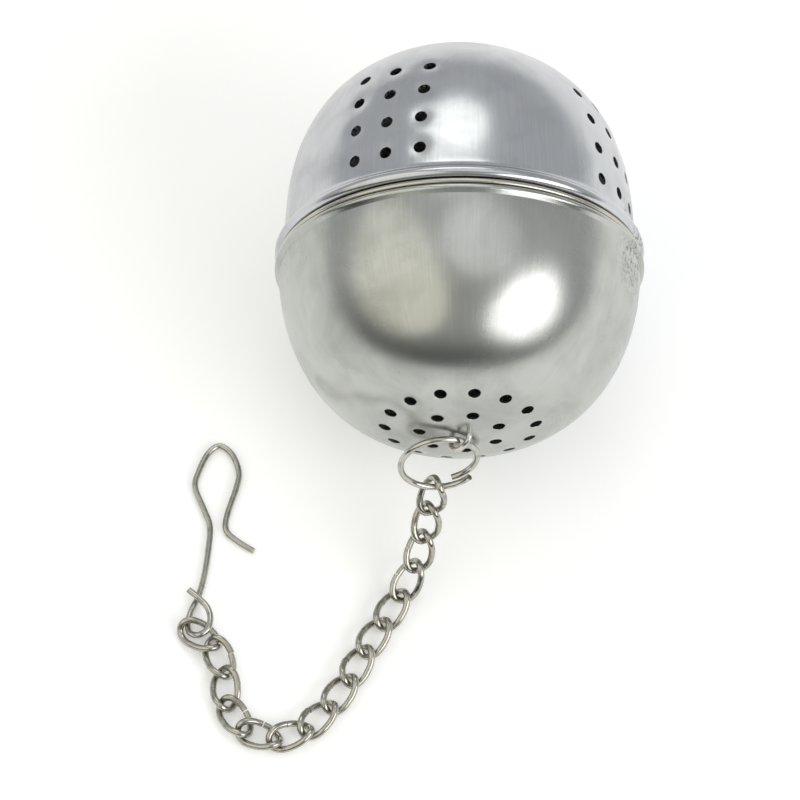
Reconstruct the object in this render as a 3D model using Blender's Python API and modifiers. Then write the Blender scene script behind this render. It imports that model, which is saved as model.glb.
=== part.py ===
"""A stainless steel tea infuser: a screw-together egg-shaped strainer, its chain and its hook.

The egg lies on its side with its long axis along +Y. The near half (-Y) carries the chain, which
hangs from a split ring down to the surface and lies there in a J, with the hook at its end.
All sizes are in metres. The model stands on z = 0, over the centre of its footprint.
"""

import math

import bmesh
import bpy
from mathutils import Matrix, Vector

# ---------------------------------------------------------------- the egg
DIAMETER = 0.040            # over the rolled rims, the widest place
FAR_STEP = 0.0010           # how far the far shell's wall lies inside the rims
NEAR_STEP = 0.0004          # the same for the near shell
FAR_LENGTH = 0.0242         # from the parting plane to the far pole
NEAR_LENGTH = 0.0207        # from the parting plane to the near pole
FAR_SHOULDER = 2.95         # a higher power keeps the wall straighter beside the rim
FAR_NOSE = 2.05             # a higher power blunts the pole
NEAR_SHOULDER = 2.2
NEAR_NOSE = 2.45
SHEET = 0.0004              # wall of the near shell, the neck and the collar
FAR_SHEET = 0.00036         # wall of the far shell, which is drawn deeper and so ends up thinner
ROUND_STEPS = 32            # flats round the egg: it rests on one of them
PROFILE_STEPS = 11          # points along each shell's wall

# ---------------------------------------------------------------- rolled rims and the screw joint
FAR_ROLL = 0.00140          # thickness of the far shell's rolled rim
NEAR_ROLL = 0.00075         # thickness of the near shell's rolled rim
LIP = 0.00060               # thickness of the collar's lip, between the two rims
LIP_STEP = 0.00025          # how far the lip lies inside the rims
RIM_GAP = 0.00015           # between a rim and the lip
FIT_GAP = 0.00025           # radial clearance between the nested rings
COLLAR_DEPTH = 0.0034       # how far the collar reaches into the far shell
NECK_DEPTH = 0.0036         # how far the neck reaches past the parting plane
SKIRT_DEPTH = 0.0032        # how far the neck's skirt reaches into the near shell
THREAD_HEIGHT = 0.0003      # how far the thread stands out of the neck
THREAD_LEAD = 0.0030        # travel for one turn
THREAD_TURNS = 0.85

# ---------------------------------------------------------------- the holes
HOLE = 0.00135              # diameter of every hole
PATCHES = 4                 # patches of holes round the far shell
PATCH_START = -25.0         # degrees from straight up towards +X, middle of the first patch
PATCH_ROWS = 4
PATCH_COLUMNS = 3
FIRST_ROW = 0.0043          # along the wall, from the parting plane to the first row
HOLE_PITCH = 0.00385        # between holes, along the wall and round it
POLE_RINGS = ((7, 0.0044, 17.0), (14, 0.0081, 10.0))    # holes, radius, degrees round

# ---------------------------------------------------------------- the eye and the split ring
EYE_WIRE = 0.0006
EYE_SPAN = 0.0034           # between the eye's two legs
EYE_FOOT = 0.0013           # how far each leg is turned out inside the shell
EYE_TURN = 34.0             # degrees from straight up towards +X, the line of the legs
RING_WIRE = 0.0007
RING_DIAMETER = 0.0090      # outside
RING_LIFT = 11.0            # degrees that the ring hangs away from the shell
RING_OVERLAP = 30.0         # degrees by which the ring's ends pass each other
RING_END = 125.0            # degrees from the eye to the nearer end of the wire
RING_HOLD = 152.0           # degrees from the eye to the first link
RING_POINTS = 30

# ---------------------------------------------------------------- the chain
LINK_WIRE = 0.00075
LINK_LENGTH = 0.0055        # outside
LINK_WIDTH = 0.0034         # outside
LINK_ROUND = 0.8            # 1 makes an oval link, less a fuller one with rounder ends
LINK_TWIST = -90.0          # degrees from one end of a curb link to the other
LINK_PLAY = 0.0002          # clearance between two links' wires
BEND_PLAY = 0.0002          # more clearance where the chain bends through a right angle
LINK_POINTS = 20
CATENARY = 0.0080           # the hanging chain's tightest radius, where it meets the surface
REST_GAP = 0.00003          # between the lying pieces and the surface
SETTLE_STEPS = 12           # rounds that bring the last link down to the surface
# the way each link points, in degrees from +X: down and away from the egg, then back in a J
HEADINGS = (243, 254, 248, 237, 238, 239, 244, 236, 227, 199, 161, 123, 92, 111, 149)

# ---------------------------------------------------------------- the hook
HOOK_WIRE = 0.0007
HOOK_BELOW = 0.00013        # how far the eye reaches past the last link's middle
HOOK_SAMPLES = 3            # points added along each stretch of the route
# millimetres from the middle of the hook's eye: the tail, the bight, the shank and the eye, whose
# cut end climbs over the shank
HOOK_ROUTE = (
    (5.8, 8.7, 0.0), (4.1, 9.8, 0.0), (2.8, 11.1, 0.0), (2.8, 12.9, 0.0), (3.7, 16.0, 0.0),
    (4.05, 18.1, 0.0), (3.3, 20.3, 0.0), (1.9, 21.4, 0.0), (0.6, 20.5, 0.0), (-0.4, 18.3, 0.0),
    (-0.75, 16.4, 0.0), (0.3, 13.6, 0.0), (0.95, 11.6, 0.0), (0.8, 8.6, 0.0), (0.4, 5.6, 0.0),
    (-0.2, 3.2, 0.0), (-0.95, 1.5, 0.03), (-1.25, 0.0, 0.18), (-1.0, -1.1, 0.34),
    (-0.1, -1.75, 1.15), (0.9, -1.2, 1.32), (1.25, 0.1, 1.26), (0.9, 1.5, 1.08), (0.0, 2.6, 0.96),
    (-1.2, 3.7, 0.88),
)

STEEL = (0.60, 0.60, 0.58)
FAR_TONE = (0.56, 0.57, 0.59)
NICKEL = (0.52, 0.51, 0.48)

RADIUS = DIAMETER / 2
FAR_RADIUS = RADIUS - FAR_STEP
NEAR_RADIUS = RADIUS - NEAR_STEP
FLAT = math.cos(math.pi / ROUND_STEPS)      # a flat's distance from the axis over its corners'
NEAR_ROLL_MIDDLE = -(LIP / 2 + RIM_GAP + NEAR_ROLL / 2) - LIP / 2
LIP_MIDDLE = -LIP / 2
FAR_ROLL_MIDDLE = RIM_GAP + FAR_ROLL / 2
SPINDLE = Matrix.Rotation(-math.pi / 2, 4, "X") @ Matrix.Rotation(math.pi / ROUND_STEPS, 4, "Z")


def clear_scene():
    for thing in list(bpy.data.objects):
        bpy.data.objects.remove(thing, do_unlink=True)


def new_collection(name):
    made = bpy.data.collections.new(name)
    bpy.context.scene.collection.children.link(made)
    return made


def steel(name, colour, roughness):
    made = bpy.data.materials.new(name)
    made.use_nodes = True
    shader = made.node_tree.nodes["Principled BSDF"]
    shader.inputs["Base Color"].default_value = (*colour, 1.0)
    shader.inputs["Metallic"].default_value = 1.0
    shader.inputs["Roughness"].default_value = roughness
    return made


clear_scene()
PARTS = new_collection("tea_infuser")
CUTTERS = new_collection("cutters")


def add_object(name, data, matrix, collection=PARTS):
    made = bpy.data.objects.new(name, data)
    collection.objects.link(made)
    made.matrix_world = matrix
    return made


def add_pivot(name, point, axis, parent):
    """An empty on a joint: its Z axis is the joint's axis."""
    turn = Vector(axis).normalized().to_track_quat("Z", "Y").to_matrix().to_4x4()
    made = add_object(name, None, Matrix.Translation(point) @ turn)
    made.empty_display_size = 0.002
    if parent:
        hang_on(made, parent)
    return made


def hang_on(child, parent):
    """Parents a thing where it stands."""
    bpy.context.view_layer.update()
    child.parent = parent
    child.matrix_parent_inverse = parent.matrix_world.inverted()


def lathe(name, outline, material):
    """A solid turned about the egg's axis from (radius, height) points, outer side downwards."""
    mesh = bpy.data.meshes.new(name)
    corners = [(radius, 0.0, height) for radius, height in outline]
    edges = [(i, (i + 1) % len(corners)) for i in range(len(corners))]
    on_axis = [i for i, corner in enumerate(corners) if corner[0] == 0.0]
    edges = [edge for edge in edges if not (edge[0] in on_axis and edge[1] in on_axis)]
    mesh.from_pydata(corners, edges, [])
    made = add_object(name, mesh, SPINDLE)
    turn = made.modifiers.new("turn", "SCREW")
    turn.steps = ROUND_STEPS
    turn.render_steps = ROUND_STEPS
    turn.use_merge_vertices = True
    turn.merge_threshold = 0.00001
    turn.use_smooth_shade = True
    mesh.materials.append(material)
    return made


def wire(name, points, thickness, material, matrix, closed=False, collection=PARTS, sides=2):
    """A round wire along points."""
    curve = bpy.data.curves.new(name, "CURVE")
    curve.dimensions = "3D"
    curve.bevel_depth = thickness / 2
    curve.bevel_resolution = sides
    curve.use_fill_caps = not closed
    spline = curve.splines.new("POLY")
    spline.points.add(len(points) - 1)
    for place, point in zip(spline.points, points):
        place.co = (*point, 1.0)
    spline.use_cyclic_u = closed
    made = add_object(name, curve, matrix, collection)
    made.data.materials.append(material)
    return made


def as_mesh(thing):
    """Replaces a curve object with the mesh that it shows, its caps welded on."""
    bpy.context.view_layer.update()
    shown = thing.evaluated_get(bpy.context.evaluated_depsgraph_get())
    mesh = bpy.data.meshes.new_from_object(shown)
    work = bmesh.new()
    work.from_mesh(mesh)
    bmesh.ops.remove_doubles(work, verts=work.verts, dist=0.000001)
    bmesh.ops.recalc_face_normals(work, faces=work.faces)
    work.to_mesh(mesh)
    work.free()
    name = thing.name
    collection = thing.users_collection[0]
    matrix = thing.matrix_world.copy()
    bpy.data.objects.remove(thing, do_unlink=True)
    return add_object(name, mesh, matrix, collection)


def combine(target, other, operation):
    """A Boolean with a piece that only shapes the target."""
    cut = target.modifiers.new(other.name, "BOOLEAN")
    cut.operation = operation
    cut.solver = "EXACT"
    cut.object = other
    other.hide_render = True
    other.display_type = "WIRE"


def drills(name, places, reach):
    """One cutter of short round rods, each a (place, direction) on a wall."""
    mesh = bpy.data.meshes.new(name)
    work = bmesh.new()
    for place, direction, diameter in places:
        turn = direction.to_track_quat("Z", "Y").to_matrix().to_4x4()
        bmesh.ops.create_cone(
            work,
            cap_ends=True,
            segments=8,
            radius1=diameter / 2,
            radius2=diameter / 2,
            depth=reach,
            matrix=Matrix.Translation(place) @ turn,
        )
    work.to_mesh(mesh)
    work.free()
    return add_object(name, mesh, Matrix.Identity(4), CUTTERS)


def egg_radius(height, radius, length, shoulder, nose):
    """The wall's radius at a height from the parting plane."""
    return radius * (1 - (abs(height) / length) ** shoulder) ** (1 / nose)


def wall(radius, length, shoulder, nose, start):
    """(radius, height) points along a half egg's wall, from a start height to the pole."""
    first = math.asin(start / length)
    points = []
    for i in range(PROFILE_STEPS):
        angle = first + (math.pi / 2 - first) * i / PROFILE_STEPS
        height = length * math.sin(angle)
        points.append((egg_radius(height, radius, length, shoulder, nose), height))
    return points + [(0.0, length)]


def arc(middle_radius, middle_height, size, first, last, steps):
    """(radius, height) points round a rolled rim, in degrees from straight out towards +Y."""
    angles = [math.radians(first + (last - first) * i / steps) for i in range(steps + 1)]
    return [(middle_radius + size * math.cos(a), middle_height + size * math.sin(a)) for a in angles]


def far_outline():
    """The far shell: its pole, the wall, a hollow fillet, the rolled rim and the inside."""
    roll = FAR_ROLL / 2
    middle = RADIUS - roll
    rim = arc(middle, FAR_ROLL_MIDDLE, roll, 70.0, -90.0, 8)
    fillet_end = FAR_ROLL_MIDDLE + 2.4 * roll
    outer = wall(FAR_RADIUS, FAR_LENGTH, FAR_SHOULDER, FAR_NOSE, fillet_end)
    hollow = (outer[0][0] + 0.3 * (rim[0][0] - outer[0][0]), rim[0][1] + 0.3 * (fillet_end - rim[0][1]))
    inner_radius = FAR_RADIUS - FAR_SHEET
    inner = wall(inner_radius, FAR_LENGTH - FAR_SHEET, FAR_SHOULDER, FAR_NOSE, fillet_end)
    mouth = (inner_radius, RIM_GAP)
    return outer[::-1] + [hollow] + rim + [mouth] + inner


def near_outline():
    """The near shell: the rolled rim, the wall to the pole, and the inside."""
    roll = NEAR_ROLL / 2
    rim = arc(RADIUS - roll, NEAR_ROLL_MIDDLE, roll, 90.0, -50.0, 7)
    start = -NEAR_ROLL_MIDDLE + 1.6 * roll
    outer = wall(NEAR_RADIUS, NEAR_LENGTH, NEAR_SHOULDER, NEAR_NOSE, start)
    inner_radius = NEAR_RADIUS - SHEET
    inner = wall(inner_radius, NEAR_LENGTH - SHEET, NEAR_SHOULDER, NEAR_NOSE, start)
    mouth = (inner_radius, NEAR_ROLL_MIDDLE + roll)
    outer = [(radius, -height) for radius, height in outer]
    inner = [(radius, -height) for radius, height in inner]
    return [mouth] + rim + outer + inner[::-1]


def round_axis(radius, height, degrees):
    """A point beside the egg's axis, its angle measured from straight up towards +X."""
    angle = math.radians(degrees)
    return Vector((radius * math.sin(angle), height, radius * math.cos(angle)))


def wall_place(travel, radius, length, shoulder, nose):
    """(radius, height) a distance along the wall from the parting plane, and the slope there."""
    height = 0.0
    step = 0.00002
    at = radius
    gone = 0.0
    while gone < travel:
        ahead = egg_radius(height + step, radius, length, shoulder, nose)
        gone += math.hypot(step, ahead - at)
        height += step
        slope = (at - ahead) / step
        at = ahead
    return at, height, slope


def far_holes():
    places = []
    for row in range(PATCH_ROWS):
        travel = FIRST_ROW + HOLE_PITCH * row
        at, height, slope = wall_place(travel, FAR_RADIUS, FAR_LENGTH, FAR_SHOULDER, FAR_NOSE)
        for patch in range(PATCHES):
            for column in range(PATCH_COLUMNS):
                aside = math.degrees(HOLE_PITCH / at) * (column - (PATCH_COLUMNS - 1) / 2)
                degrees = PATCH_START + 360 / PATCHES * patch + aside
                place = round_axis(at - FAR_SHEET / 2, height, degrees)
                outwards = round_axis(1.0, slope, degrees).normalized()
                places.append((place, outwards, HOLE))
    return places


def near_pole_height(radius):
    """How far the near shell's outside lies from the parting plane at a radius from the pole."""
    return NEAR_LENGTH * (1 - (radius / NEAR_RADIUS) ** NEAR_NOSE) ** (1 / NEAR_SHOULDER)


def near_holes():
    places = []
    for count, radius, turned in POLE_RINGS:
        height = near_pole_height(radius)
        step = 0.0002
        slope = (near_pole_height(radius) - near_pole_height(radius + step)) / step
        for i in range(count):
            degrees = turned + 360 / count * i
            place = round_axis(radius, -height + SHEET / 2, degrees)
            outwards = round_axis(slope, -1.0, degrees).normalized()
            places.append((place, outwards, HOLE))
    for side in (-1, 1):
        place = round_axis(side * EYE_SPAN / 2, -NEAR_LENGTH + SHEET / 2, EYE_TURN)
        places.append((place, Vector((0, -1, 0)), EYE_WIRE + 2 * FIT_GAP))
    return places


def make_shells(root):
    near = lathe("near_shell", near_outline(), steel("near_shell_steel", STEEL, 0.28))
    combine(near, drills("near_drills", near_holes(), 5 * SHEET), "DIFFERENCE")
    hang_on(near, root)
    far = lathe("far_shell", far_outline(), steel("far_shell_steel", FAR_TONE, 0.30))
    combine(far, drills("far_drills", far_holes(), 5 * SHEET), "DIFFERENCE")
    return far


def make_neck(root):
    """The threaded neck, pressed into the near shell's mouth."""
    lip_under = LIP_MIDDLE - LIP / 2
    shoulder_top = lip_under - FIT_GAP
    deepest = egg_radius(SKIRT_DEPTH, NEAR_RADIUS, NEAR_LENGTH, NEAR_SHOULDER, NEAR_NOSE)
    skirt = (deepest - SHEET) * FLAT - FIT_GAP
    neck = collar_radius() - SHEET - FIT_GAP - THREAD_HEIGHT
    outline = [
        (neck, NECK_DEPTH),
        (neck, shoulder_top),
        (skirt, shoulder_top),
        (skirt, -SKIRT_DEPTH),
        (skirt - SHEET, -SKIRT_DEPTH),
        (skirt - SHEET, shoulder_top - SHEET),
        (neck - SHEET, shoulder_top - SHEET),
        (neck - SHEET, NECK_DEPTH),
    ]
    made = lathe("neck_ring", outline, steel("neck_steel", STEEL, 0.32))
    thread = wire("thread", thread_points(neck), 2 * THREAD_HEIGHT, made.data.materials[0],
                  SPINDLE, collection=CUTTERS, sides=1)
    combine(made, as_mesh(thread), "UNION")
    hang_on(made, root)


def thread_points(radius):
    """A right-hand helix on the neck, with a point over each corner of the turned ring."""
    count = round(THREAD_TURNS * ROUND_STEPS)
    first = NECK_DEPTH - 0.0008 - THREAD_LEAD * THREAD_TURNS
    points = []
    for i in range(count + 1):
        angle = 2 * math.pi * i / ROUND_STEPS
        height = first + THREAD_LEAD * i / ROUND_STEPS
        points.append((radius * math.cos(angle), radius * math.sin(angle), height))
    return points


def collar_radius():
    """The collar's outside: it fits in the far shell's mouth."""
    return (FAR_RADIUS - FAR_SHEET) * FLAT - FIT_GAP


def make_collar():
    """The collar that lines the far shell's mouth, with its lip between the rims."""
    outside = collar_radius()
    inside = outside - SHEET
    lip = RADIUS - LIP_STEP
    top = LIP_MIDDLE + LIP / 2
    under = LIP_MIDDLE - LIP / 2
    bulge = arc(lip - LIP / 2, LIP_MIDDLE, LIP / 2, 90.0, -90.0, 4)
    outline = [(outside, COLLAR_DEPTH), (outside, top)] + bulge
    outline += [(inside, under), (inside, COLLAR_DEPTH)]
    return lathe("far_collar", outline, steel("collar_steel", STEEL, 0.30))


def make_screw_joint(root):
    """The far half: it turns on the neck's thread and moves out along the axis as it does."""
    far = make_shells(root)
    make_neck(root)
    collar = make_collar()
    slide = add_pivot("pivot_far_lift", (0, 0, 0), (0, 1, 0), root)
    turn = add_pivot("pivot_far_turn", (0, 0, 0), (0, 1, 0), slide)
    hang_on(collar, slide)
    hang_on(far, turn)


def eye_height():
    """Outwards from the near pole to the ring's wire, where it runs under the eye."""
    return FIT_GAP + RING_WIRE / 2


def make_eye(root):
    """A bent wire staple over the near pole, its legs turned out inside the shell."""
    half = EYE_SPAN / 2
    inside = -SHEET - FIT_GAP - EYE_WIRE / 2
    top = eye_height() + RING_WIRE / 2 + FIT_GAP + EYE_WIRE / 2
    bend = EYE_WIRE / 2
    side = [(half + EYE_FOOT, inside), (half + bend, inside), (half, inside + bend), (half, 0.2 * top)]
    for degrees in (20, 40, 60, 80):
        angle = math.radians(degrees)
        side.append((half * math.cos(angle), 0.3 * top + 0.7 * top * math.sin(angle)))
    outline = side + [(-across, out) for across, out in side[::-1]]
    points = [round_axis(across, -NEAR_LENGTH - out, EYE_TURN) for across, out in outline]
    made = wire("pole_eye", points, EYE_WIRE, steel("eye_steel", NICKEL, 0.25), Matrix.Identity(4))
    hang_on(made, root)


def ring_frame():
    """The split ring's own frame: X from its middle to the eye, Z along its axis."""
    turn = math.radians(EYE_TURN)
    lift = math.radians(RING_LIFT)
    up = Vector((math.sin(turn), 0, math.cos(turn)))
    outwards = Vector((0, -1, 0))
    along_x = up * math.cos(lift) - outwards * math.sin(lift)
    along_y = Vector((math.cos(turn), 0, -math.sin(turn)))
    along_z = along_x.cross(along_y)
    eye = Vector((0, -NEAR_LENGTH - eye_height(), 0))
    turned = Matrix((along_x, along_y, along_z)).transposed().to_4x4()
    on_wire = ring_point(0.0)
    return Matrix.Translation(eye - turned @ on_wire) @ turned


def ring_point(degrees):
    """A point on the ring's wire: a flat coil whose ends lie side by side."""
    radius = (RING_DIAMETER - RING_WIRE) / 2
    total = 360.0 + RING_OVERLAP
    gone = (RING_END - degrees) / total
    side = (0.5 - gone) * (RING_WIRE + FIT_GAP) * total / 360.0
    angle = math.radians(degrees)
    return Vector((radius * math.cos(angle), radius * math.sin(angle), side))


def make_ring(root):
    frame = ring_frame()
    total = 360.0 + RING_OVERLAP
    points = [ring_point(RING_END - total * i / RING_POINTS) for i in range(RING_POINTS + 1)]
    made = wire("split_ring", points, RING_WIRE, steel("ring_steel", NICKEL, 0.22), frame)
    pivot = add_pivot("pivot_split_ring", frame @ ring_point(0.0), frame.col[1].xyz, root)
    hang_on(made, pivot)
    return frame, pivot


def link_point(angle):
    """A point on a curb link's wire, in the link's frame: X runs from its first end to its last."""
    reach = (LINK_LENGTH - LINK_WIRE) / 2
    width = (LINK_WIDTH - LINK_WIRE) / 2
    twist = math.radians(LINK_TWIST / 2) * math.cos(angle)
    along = reach * fuller(math.cos(angle)) + reach
    aside = width * fuller(math.sin(angle))
    return Vector((along, aside * math.cos(twist), aside * math.sin(twist)))


def fuller(value):
    return math.copysign(abs(value) ** LINK_ROUND, value)


def link_frame(start, heading, dip):
    """A link's frame: its origin is in the wire of its first end."""
    level = Vector((math.cos(heading), math.sin(heading), 0))
    along = level * math.cos(dip) - Vector((0, 0, math.sin(dip)))
    aside = Vector((-math.sin(heading), math.cos(heading), 0))
    above = along.cross(aside)
    turned = Matrix((along, aside, above)).transposed().to_4x4()
    return Matrix.Translation(start) @ turned


def spacing(before, after):
    """Half the distance between the wires of two links, so that they clear each other at any bend."""
    first = before.to_3x3() @ end_tangent(LINK_TWIST / 2)
    last = after.to_3x3() @ end_tangent(-LINK_TWIST / 2)
    across = first.cross(last).normalized()
    along = before.col[0].xyz + after.col[0].xyz
    bend = before.col[0].xyz.angle(after.col[0].xyz)
    return (LINK_WIRE + LINK_PLAY + BEND_PLAY * math.sin(bend)) / abs(along.dot(across))


def link_directions(drop):
    """The heading and dip of each link: they hang in a catenary, then lie on the surface."""
    lying = lying_height()
    pitch = LINK_LENGTH - 2 * LINK_WIRE - LINK_PLAY
    above = drop - lying
    directions = []
    for heading in HEADINGS:
        dip = math.acos(CATENARY / (CATENARY + max(above, 0.0)))
        middle = max(above - pitch * math.sin(dip) / 2, 0.0)
        dip = math.acos(CATENARY / (CATENARY + middle))
        dip = min(dip, math.asin(min(max(above, 0.0) / pitch, 1.0)))
        above -= pitch * math.sin(dip)
        directions.append((math.radians(heading), dip))
    return directions


def lying_height():
    """How high a flat link's middle lies over the surface."""
    low = max(link_point(2 * math.pi * i / 90).z for i in range(90))
    return low + LINK_WIRE / 2 + REST_GAP


def chain_frames(hold, drop):
    """The frame of each link, the first one held at a point on the ring's wire."""
    reach = Vector((LINK_LENGTH - LINK_WIRE, 0, 0))
    frames = []
    for heading, dip in link_directions(drop):
        frame = link_frame((0, 0, 0), heading, dip)
        along = frame.col[0].xyz
        if frames:
            before = frames[-1]
            start = before @ reach - (before.col[0].xyz + along) * spacing(before, frame)
        else:
            start = hold - along * ((RING_WIRE + LINK_WIRE) / 2 + LINK_PLAY)
        frame.translation = start
        frames.append(frame)
    return frames


def settled_chain(hold, ground):
    """The chain's frames, with its slope chosen so that the last link lies on the surface."""
    drop = hold.z - ground
    for _ in range(SETTLE_STEPS):
        frames = chain_frames(hold, drop)
        drop += frames[-1].translation.z - ground - lying_height()
    return frames


def make_chain(ring, parent, ground):
    """The links one after another, each on a pivot in its own wire or the wire before it."""
    tone = steel("chain_steel", NICKEL, 0.24)
    hold = ring @ ring_point(RING_HOLD - 360.0)
    reach = Vector((LINK_LENGTH - LINK_WIRE, 0, 0))
    held = hold
    held_axis = (ring @ ring_point(RING_HOLD - 359.0)) - hold
    points = [link_point(2 * math.pi * i / LINK_POINTS) for i in range(LINK_POINTS)]
    for number, frame in enumerate(settled_chain(hold, ground), start=1):
        name = f"link_{number:02d}"
        turned = frame.to_3x3()
        if number % 2:
            pivot = add_pivot("pivot_" + name, held, held_axis, parent)
        else:
            own_axis = turned @ end_tangent(-LINK_TWIST / 2)
            pivot = add_pivot("pivot_" + name, frame.translation, own_axis, parent)
        made = wire(name, points, LINK_WIRE, tone, frame, closed=True)
        hang_on(made, pivot)
        parent = pivot
        held = frame @ reach
        held_axis = turned @ end_tangent(LINK_TWIST / 2)
    return frame, parent


def end_tangent(degrees):
    """The way a link's wire runs across its end."""
    return Vector((0, math.cos(math.radians(degrees)), math.sin(math.radians(degrees))))


def smooth_route(points, samples):
    """Points on a Catmull-Rom curve through a route."""
    first = points[0] * 2 - points[1]
    last = points[-1] * 2 - points[-2]
    held = [first] + points + [last]
    route = []
    for i in range(1, len(held) - 2):
        a, b, c, d = held[i - 1 : i + 3]
        for step in range(samples):
            t = step / samples
            along = b * 2 + (c - a) * t + (a * 2 - b * 5 + c * 4 - d) * t**2 + (b * 3 - a - c * 3 + d) * t**3
            route.append(along / 2)
    return route + [points[-1]]


def make_hook(last_link, parent, ground):
    """The wire hook, its eye round the last link's side."""
    route = [Vector(point) / 1000 for point in HOOK_ROUTE]
    bottom = min(route, key=lambda point: point.y)
    held = last_link @ link_point(-math.pi / 2)
    middle = last_link @ Vector(((LINK_LENGTH - LINK_WIRE) / 2, 0, 0))
    height = ground + HOOK_WIRE / 2 + REST_GAP
    place = Vector((middle.x, middle.y - bottom.y - HOOK_BELOW, height))
    points = smooth_route(route, HOOK_SAMPLES)
    tone = steel("hook_steel", NICKEL, 0.22)
    made = wire("hook", points, HOOK_WIRE, tone, Matrix.Translation(place))
    along = last_link @ link_point(-math.pi / 2 + 0.05) - held
    pivot = add_pivot("pivot_hook", held, along, parent)
    hang_on(made, pivot)


def centre_on_footprint(root):
    """Moves the whole model so that it stands on z = 0 over the middle of its footprint."""
    bpy.context.view_layer.update()
    graph = bpy.context.evaluated_depsgraph_get()
    corners = []
    for thing in PARTS.objects:
        if thing.type == "EMPTY":
            continue
        shown = thing.evaluated_get(graph)
        mesh = shown.to_mesh()
        corners += [thing.matrix_world @ vertex.co for vertex in mesh.vertices]
        shown.to_mesh_clear()
    low = Vector([min(corner[i] for corner in corners) for i in range(3)])
    high = Vector([max(corner[i] for corner in corners) for i in range(3)])
    root.location -= Vector(((low.x + high.x) / 2, (low.y + high.y) / 2, low.z))
    bpy.context.view_layer.update()


root = add_pivot("pivot_root", (0, 0, 0), (0, 0, 1), None)
ground = -RADIUS * FLAT
make_screw_joint(root)
make_eye(root)
ring, ring_pivot = make_ring(root)
last_link, last_pivot = make_chain(ring, ring_pivot, ground)
make_hook(last_link, last_pivot, ground)
for cutter in CUTTERS.objects:
    hang_on(cutter, root)
centre_on_footprint(root)
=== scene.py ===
"""The looks of a stainless steel tea infuser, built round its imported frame.

The sections follow the infuser as it is put together: the near half with its neck, the far half with
its collar, the eye and the split ring, the chain and the hook. The studio comes last.
"""

import math
import random

import bmesh
import bpy
import numpy as np
from mathutils import Matrix, Vector


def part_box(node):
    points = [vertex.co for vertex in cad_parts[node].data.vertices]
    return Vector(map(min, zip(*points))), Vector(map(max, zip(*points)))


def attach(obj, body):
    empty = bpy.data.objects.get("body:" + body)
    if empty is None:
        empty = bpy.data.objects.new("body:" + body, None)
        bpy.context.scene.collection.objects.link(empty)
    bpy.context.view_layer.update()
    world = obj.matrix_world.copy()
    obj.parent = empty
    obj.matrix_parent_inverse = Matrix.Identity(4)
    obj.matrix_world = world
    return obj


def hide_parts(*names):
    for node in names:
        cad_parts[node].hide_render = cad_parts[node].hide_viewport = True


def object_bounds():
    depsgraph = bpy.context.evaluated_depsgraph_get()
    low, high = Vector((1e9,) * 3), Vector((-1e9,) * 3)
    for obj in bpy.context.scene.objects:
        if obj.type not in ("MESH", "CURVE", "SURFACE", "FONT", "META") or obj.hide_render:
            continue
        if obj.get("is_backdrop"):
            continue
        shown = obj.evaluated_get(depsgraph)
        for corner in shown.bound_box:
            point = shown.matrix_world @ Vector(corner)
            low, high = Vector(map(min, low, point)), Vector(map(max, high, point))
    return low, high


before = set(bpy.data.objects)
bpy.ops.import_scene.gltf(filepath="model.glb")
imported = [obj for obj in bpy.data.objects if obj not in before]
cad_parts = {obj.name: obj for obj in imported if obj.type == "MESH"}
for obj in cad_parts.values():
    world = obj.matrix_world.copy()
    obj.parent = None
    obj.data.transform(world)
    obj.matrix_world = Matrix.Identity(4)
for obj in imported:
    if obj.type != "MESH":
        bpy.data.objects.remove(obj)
cad_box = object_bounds()

# ------------------------------------------------------------------------------------ near shell
# The half of the egg that the chain hangs from. It is deep drawn from thin stainless sheet and then
# polished, and its mouth is rolled outwards into a thin bead. Its holes are punched from outside.

far_low, far_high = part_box("far_shell")
near_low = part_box("near_shell")[0]
lip = 0.0006                                    # thickness of the collar's lip, between the two beads
lip_gap = 0.00015                               # between a bead and the lip
egg = (far_low + far_high) / 2
egg.y = far_low.y - lip_gap                     # the parting plane, just under the far shell's bead
radius = 0.020                                  # over the beads
sheet = 0.0004
facets = 320                                    # round each shell

near_length = egg.y - near_low.y
near_radius = radius - 0.0004
near_shoulder = 2.2                             # a higher power keeps the wall straighter by the bead
near_nose = 2.45                                # a higher power blunts the pole
near_bead = 0.00075
near_bead_middle = -(lip / 2 + lip_gap + near_bead / 2) - lip / 2
near_rings = ((7, 0.0044, 17.0), (14, 0.0081, 10.0))    # holes, radius, degrees turned
hole_radius = 0.000675
weld = 0.000002                                 # points closer than this become one


def egg_radius(height, widest, length, shoulder, nose):
    """The wall's radius at a height from the parting plane."""
    return widest * (1 - min(abs(height) / length, 1.0) ** shoulder) ** (1 / nose)


def egg_wall(widest, length, shoulder, nose, start, steps):
    """(radius, height) points along half an egg, from a start height to the pole."""
    first = math.asin(start / length)
    angles = [first + (math.pi / 2 - first) * i / steps for i in range(steps)]
    heights = [length * math.sin(angle) for angle in angles]
    return [(egg_radius(h, widest, length, shoulder, nose), h) for h in heights] + [(0.0, length)]


def bead(middle_radius, middle_height, size, first, last, steps):
    """(radius, height) points round a rolled edge, in degrees from straight out towards +Y."""
    angles = [math.radians(first + (last - first) * i / steps) for i in range(steps + 1)]
    return [(middle_radius + size * math.cos(a), middle_height + size * math.sin(a)) for a in angles]


def near_profile():
    roll = near_bead / 2
    start = -near_bead_middle + 1.6 * roll      # where the wall leaves the bead
    rim = bead(radius - roll, near_bead_middle, roll, 90.0, -50.0, 14)
    outer = egg_wall(near_radius, near_length, near_shoulder, near_nose, start, 96)
    inner = egg_wall(near_radius - sheet, near_length - sheet, near_shoulder, near_nose, start, 56)
    mouth = (near_radius - sheet, near_bead_middle + roll)
    return [(r, -h) for r, h in inner[::-1]] + [mouth] + rim + [(r, -h) for r, h in outer]


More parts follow.
